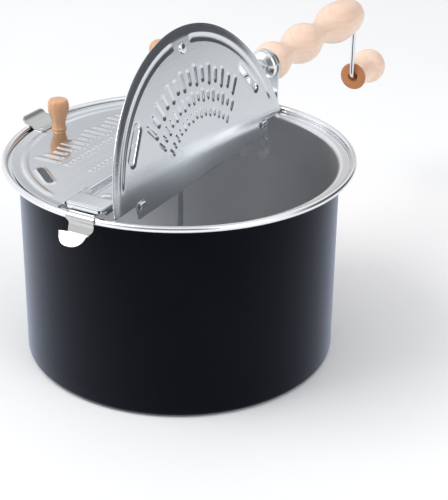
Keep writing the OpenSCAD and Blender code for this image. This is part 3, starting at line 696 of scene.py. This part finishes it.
def corner_outline(end, side):
    """Outline outside one rounded corner of the strip, end and side being -1 or 1."""
    x, y, r = end * BRIDGE_END, side * BRIDGE_HALF, 3
    outline = [(x, y), (x - end * r * MM, y)]
    for i in range(1, 7):
        a = math.radians(15 * i)
        outline.append((x - end * (r - r * math.sin(a)) * MM, y - side * (r - r * math.cos(a)) * MM))
    return outline


def make_bridge():
    """Raised strip with folded sides, front lip, pressed pans, fixed hinge hooks and a rear tongue."""
    fold = 1.1 * MM
    low = BRIDGE_TOP - BRIDGE_SIDE
    section = [(BRIDGE_HALF, low + (BRIDGE_SIDE - fold) * i / 3) for i in range(3)]
    section += arc(BRIDGE_HALF - fold, BRIDGE_TOP - fold, fold, 0, 90, 8)
    section += [(-y, z) for y, z in reversed(section)]
    columns = 60
    bm = bmesh.new()
    rows = []
    for i in range(columns + 1):
        x = -BRIDGE_END + 2 * BRIDGE_END * i / columns
        rows.append([bm.verts.new((x, y, z)) for y, z in section])
    for a, b in zip(rows, rows[1:]):
        for k in range(len(section) - 1):
            bm.faces.new((a[k], b[k], b[k + 1], a[k + 1]))
    obj = finish_mesh("bridge_sheet", bm)
    middle = (PAN_FROM + PAN_TO) / 2
    cutters = []
    for end in (-1, 1):
        outline = stadium(end * middle, 0, PAN_TO - PAN_FROM + 1.8 * MM, PAN_W + 1.8 * MM, 0)
        cutters.append(prism(outline, BRIDGE_TOP - 2 * MM, BRIDGE_TOP + 1 * MM))
        x0, x1 = end * WALL_END, end * (BRIDGE_END + 1 * MM)
        cutters.append(prism(box_outline(min(x0, x1), -20 * MM, max(x0, x1), 20 * MM),
                             low - 1 * MM, BRIDGE_TOP - BRIDGE_T - 0.3 * MM))
        for side in (-1, 1):
            cutters.append(prism(corner_outline(end, side), low - 1 * MM, BRIDGE_TOP + 1 * MM))
    thicken(obj, BRIDGE_T, 0.15 * MM, cutters)
    sunk = 0.02 * MM
    level = BRIDGE_TOP - sunk
    path = [(BRIDGE_END - 0.5 * MM, level), (bridge_high.x - 2 * MM, level), (bridge_high.x, level)]
    sides = [(-half * MM, half * MM) for half in (8, 8, 6.5)]
    tongue = strip("tongue", path, sides, BRIDGE_T - sunk)
    half = BRIDGE_HALF - LIP_INSET
    lip = prism(box_outline(-BRIDGE_END, -half, -BRIDGE_END + BRIDGE_T, half),
                STRAP_TOP + BRIDGE_T, BRIDGE_TOP - 0.3 * MM)
    hooks = [hinge_hook(x, side) for x in (-HOOK_X, HOOK_X) for side in (-1, 1)]
    bridge = joined("bridge_channel", [obj, tongue, lip, pan(-middle), pan(middle)] + hooks)
    bridge.data.materials.append(LID_METAL)
    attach(bridge, "pot_body")
    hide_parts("bridge")


def make_clip():
    """The spring clip: a leaf under the bridge, and the hook with its finger lobe outside the rim."""
    leaf_low, leaf_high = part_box("clip_leaf")
    half = leaf_high.y
    places = (leaf_low.x, leaf_low.x + 12 * MM, leaf_high.x - 3 * MM, leaf_high.x)
    sides = [(-half, half)] * 3 + [(-half + 3 * MM, half - 3 * MM)]
    leaf = strip("clip_leaf_strip", [(x, STRAP_TOP) for x in places], sides, CLIP_T)
    leaf.data.materials.append(CLIP_METAL)
    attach(leaf, "pot_body")
    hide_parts("clip_leaf")

    path = clip_path()
    clip = strip("front_clip_hook", path[::-1], [clip_sides(z) for x, z in path][::-1], CLIP_T)
    clip.data.materials.append(CLIP_METAL)
    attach(clip, "clip")
    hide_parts("front_clip")


def clip_path():
    """Outer face of the hook seen from the side: round the bead, in, and out along the dished lobe."""
    path = arc(-RIM_R, RIM_Z, BEAD_R + AIR + CLIP_T, 93, 205, 18)
    waist = [(2.9, 2.3), (2.95, 3.4), (3.3, 4.8), (3.7, 5.8), (3.8, 6.6), (4.2, 7.9), (4.6, 8.8), (4.9, 9.25)]
    path += [(-RIM_R - out * MM, RIM_Z - drop * MM) for out, drop in waist]
    knee = (-RIM_R - 5.0 * MM, RIM_Z - 9.3 * MM)
    tip = (-RIM_R - 11.9 * MM, RIM_Z - 15.9 * MM)
    steps = 18
    for k in range(steps + 1):
        dish = 0.45 * MM * math.sin(math.pi * k / steps) ** 2
        path.append((knee[0] + (tip[0] - knee[0]) * k / steps + dish * 0.7,
                     knee[1] + (tip[1] - knee[1]) * k / steps - dish * 0.7))
    return path


def clip_sides(z):
    """Low and high Y of the hook at height z: a strap that narrows to a neck, then a round lobe."""
    drop = (RIM_Z - z) / MM
    left = 9.95 - 2.4 * float(smooth(0, 3.5, drop))
    right = -11.55 + 3.0 * float(smooth(5.0, 9.4, drop))
    if drop > 9.3:
        lobe_y, lobe_r = 3.44, 10.5
        down = min(1.0, (drop - 9.3) / 6.7)
        reach = lobe_r * math.sqrt(max(0.0, 1 - down * down)) + 0.2
        left = min(lobe_y + reach, 7.6 + 22 * (drop - 9.2))
        right = max(lobe_y - reach, right)
    return right * MM, left * MM


# ---------- handle and crank ----------

def handle_radius(t, full):
    """Radius of the turned handle from its root (0) to its end (1)."""
    neck = full * 0.57
    if t < 0.2:
        return neck + (full * 0.9 - neck) * math.cos(math.radians((t - 0.065) / 0.135 * 90)) ** 2
    if t < 0.57:
        return neck + (full * 0.95 - neck) * math.cos(math.radians((t - 0.385) / 0.185 * 90)) ** 2
    if t < 0.79:
        return neck + (full - neck) * math.cos(math.radians((t - 0.79) / 0.22 * 90)) ** 2
    return full * 0.60 + full * 0.40 * math.sqrt(max(0, 1 - ((t - 0.79) / 0.21) ** 2))


def make_handle():
    """Turned wooden handle along the crank rod's axis."""
    low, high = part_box("wooden_handle")
    full, length = (high.z - low.z) / 2, high.x - low.x
    bore = 4.0 * MM
    steps = 150
    side = [(length * i / steps, handle_radius(i / steps, full)) for i in range(steps + 1)]
    root = side[0][1]
    side = [(0, root - 0.8 * MM), (0.25 * MM, root - 0.25 * MM), (0.8 * MM, root)] + side[1:]
    profile = [(0, bore)] + side + [(length, bore), (0, bore)]
    slots = [1] + [0] * (len(side) - 1) + [1, 1]
    handle = lathe("handle_turning", profile, along_x(low.x, 0, ROD_Z), 96, 30, slots)
    handle.data.materials.append(HANDLE_WOOD)
    handle.data.materials.append(END_WOOD)
    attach(handle, "pot_body")
    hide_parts("wooden_handle")


def make_crank_knob():
    """Turned knob: a bell-shaped foot against the arm, a waist and a ball."""
    low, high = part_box("crank_knob")
    ball = (high.z - low.z) / 2
    length = joints["crank_knob_spin"]["pos_m"][0] + 50 * MM - low.x
    centre = length - ball
    face = 12.1 * MM
    bore, recess = 2.1 * MM, 4.9 * MM
    waist = ball * 0.68
    profile = [(5 * MM, bore), (4.2 * MM, 4.2 * MM), (0, 4.5 * MM), (0, face - 1 * MM),
               (0.3 * MM, face - 0.3 * MM), (1 * MM, face)]
    join = centre - ball * 0.62
    for i in range(1, 16):
        s = 1 * MM + (join - 1 * MM) * i / 16
        t = s / join
        bell = waist + (ball * 0.785 - waist) * t ** 2
        flare = (face - waist) * max(0, 1 - t / 0.7) ** 1.5
        profile.append((s, bell + flare))
    end = 7.3 * MM
    last = math.degrees(math.asin(5 * MM / ball))
    first = 128.3
    for i in range(31):
        a = math.radians(first - (first - last) * i / 30)
        profile.append((centre + ball * math.cos(a), ball * math.sin(a)))
    mouth = profile[-1][0]
    profile += [(mouth - 0.3 * MM, recess), (length - end, recess), (length - end, bore), (5 * MM, bore)]
    slots = [1] * 5 + [0] * (len(profile) - 6)
    knob = lathe("crank_knob_turning", profile, along_x(low.x, 0, KNOB_AXIS_Z), 96, 32, slots)
    knob.data.materials.append(HANDLE_WOOD)
    knob.data.materials.append(END_WOOD)
    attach(knob, "grip")
    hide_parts("crank_knob")


def make_crank_rod():
    """Bent rod: along the handle, down the arm and into the knob."""
    low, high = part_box("crank_rod")
    bend = 4.8 * MM
    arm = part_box("handle_tube")[1].x + 0.3 * MM + bend
    path = [(low.x + 0.4 * MM, ROD_Z), (arm - bend, ROD_Z)]
    path += arc(arm - bend, ROD_Z - bend, bend, 82, 0, 12)
    path += arc(arm + bend, KNOB_AXIS_Z + bend, bend, 180, 270, 12)
    path += [(high.x, KNOB_AXIS_Z)]
    rod = sweep("crank_wire", [(x, 0, z) for x, z in path], ROD_R, 32)
    rod.data.materials.append(CHROME)
    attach(rod, "crank")
    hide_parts("crank_rod")


def make_ferrule():
    """Metal cone cup at the handle's root."""
    low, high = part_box("handle_ferrule")
    length = high.x - low.x
    bore, wide = 4.05 * MM, 12 * MM
    profile = [(0.2 * MM, bore), (0, bore + 0.4 * MM), (0, 7.0 * MM)]
    profile += [(length * 0.62 * t, 7.2 * MM + (wide - 7.2 * MM) * math.sin(t * math.pi / 2) ** 1.1)
                for t in [i / 12 for i in range(1, 13)]]
    profile += [(length - 0.4 * MM, wide), (length, wide - 0.3 * MM), (length, bore), (0.2 * MM, bore)]
    ferrule = lathe("ferrule_cup", profile, along_x(low.x, 0, ROD_Z), 96, 30)
    ferrule.data.materials.append(BRIGHT_METAL)
    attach(ferrule, "pot_body")
    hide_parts("handle_ferrule")


# ---------- CAD nodes that keep their shape ----------

KEPT = [
    (PLAIN_METAL, ["handle_bracket", "handle_tube", "tube_nut", "gear_bracket"]),
    (BRIGHT_METAL, ["bracket_rivets", "clip_rivet", "gear_bracket_rivets", "catch_rivets"]),
    (BRASS, ["shaft_bush"]),
    (CHROME, ["left_knob_screw", "right_knob_screw", "stirrer_shaft", "stirring_wires"]),
    (GEAR_METAL, ["bevel_pinion", "pinion_pin", "rod_collar", "knob_retainer",
                  "bevel_gear", "gear_pin", "shaft_collar", "stirrer_hub"]),
]


def dress_kept_nodes():
    """Gives each CAD node that keeps its shape its material."""
    for material, names in KEPT:
        for name in names:
            slots = frame["nodes"][name].data.materials
            slots.clear()
            slots.append(material)


# ---------- camera, floor and light ----------

def make_camera():
    """Camera that sees the object from its usual side."""
    data = bpy.data.cameras.new("camera")
    data.lens = 98.1
    data.sensor_width = 36
    data.clip_end = 20
    camera = bpy.data.objects.new("camera", data)
    bpy.context.scene.collection.objects.link(camera)
    camera.location = (-0.7752, -0.4639, 0.5206)
    aim = Vector((0.0157, -0.0285, 0.0728))
    look = (aim - camera.location).to_track_quat("-Z", "Y").to_matrix().to_4x4()
    lean = Matrix.Rotation(math.radians(0.76), 4, "Z")
    camera.matrix_world = Matrix.Translation(camera.location) @ look @ lean
    bpy.context.scene.camera = camera


def soft_light(name, place, aim, size, power):
    """Rectangular area light turned towards aim."""
    data = bpy.data.lights.new(name, "AREA")
    data.shape = "RECTANGLE"
    data.size, data.size_y = size
    data.energy = power
    light = bpy.data.objects.new(name, data)
    bpy.context.scene.collection.objects.link(light)
    light.location = place
    light.rotation_mode = "QUATERNION"
    light.rotation_quaternion = (Vector(aim) - Vector(place)).to_track_quat("-Z", "Y")


# Direction of the patch, cosine where it starts, cosine where it is full, and how dark it gets
DARK_PATCHES = [
    ((0.78, -0.60, 0.12), 0.72, 0.93, 0.92),
    ((-0.85, -0.50, 0.10), 0.60, 0.92, 0.80),
    ((0.88, 0.44, 0.00), 0.82, 0.99, 0.52),
    ((0.30, 0.25, 0.92), 0.90, 0.99, 0.45),
]


def studio_sky(tree):
    """Soft white studio with a darker patch in each of a few directions."""
    nodes, link = tree.nodes, tree.links.new
    coord = nodes.new("ShaderNodeTexCoord").outputs["Generated"]
    darkness = None
    for aim, outer, inner, depth in DARK_PATCHES:
        dot = nodes.new("ShaderNodeVectorMath")
        dot.operation = "DOT_PRODUCT"
        dot.inputs[1].default_value = Vector(aim).normalized()
        link(coord, dot.inputs[0])
        span = nodes.new("ShaderNodeMapRange")
        span.interpolation_type = "SMOOTHSTEP"
        span.inputs["From Min"].default_value = outer
        span.inputs["From Max"].default_value = inner
        span.inputs["To Max"].default_value = depth
        link(dot.outputs["Value"], span.inputs["Value"])
        if darkness is None:
            darkness = span.outputs["Result"]
        else:
            most = nodes.new("ShaderNodeMath")
            most.operation = "MAXIMUM"
            link(darkness, most.inputs[0])
            link(span.outputs["Result"], most.inputs[1])
            darkness = most.outputs[0]
    ramp = nodes.new("ShaderNodeValToRGB")
    ramp.color_ramp.elements[0].color = (0.97, 0.98, 1.0, 1)
    ramp.color_ramp.elements[1].color = (0.02, 0.023, 0.03, 1)
    link(darkness, ramp.inputs["Fac"])
    link(ramp.outputs["Color"], nodes["Background"].inputs["Color"])
    nodes["Background"].inputs["Strength"].default_value = 1.0


def make_stage():
    """Floor, lights and background."""
    bm = bmesh.new()
    bmesh.ops.create_grid(bm, x_segments=8, y_segments=8, size=6)
    bm.transform(Matrix.Translation((0, 0, -0.0002)))
    floor = finish_mesh("floor", bm)
    floor.data.materials.append(floor_material())
    world = bpy.data.worlds.new("studio")
    bpy.context.scene.world = world
    world.use_nodes = True
    studio_sky(world.node_tree)
    soft_light("key", (-0.9, 0.9, 1.6), (0, 0, 0.1), (1.2, 1.2), 16)
    soft_light("fill", (-0.6, -1.6, 0.9), (0, 0, 0.1), (1.0, 1.6), 8)
    bpy.context.scene.view_settings.view_transform = "Standard"


make_camera()
make_stage()
make_pot()
make_half_lid("left_lid_sheet", "left_half_lid", "left_lid", IDENTITY, straight_marks())
make_half_lid("right_lid_sheet", "right_half_lid", "right_lid", right_matrix(), arched_marks())
make_lid_knob("left_lid_knob", "left_knob", "left_lid", IDENTITY, KNOB_WOOD)
make_lid_knob("right_lid_knob", "right_knob", "right_lid", right_matrix(), OPEN_KNOB_WOOD)
make_side_catch()
make_bridge()
make_clip()
make_handle()
make_crank_knob()
make_crank_rod()
make_ferrule()
dress_kept_nodes()
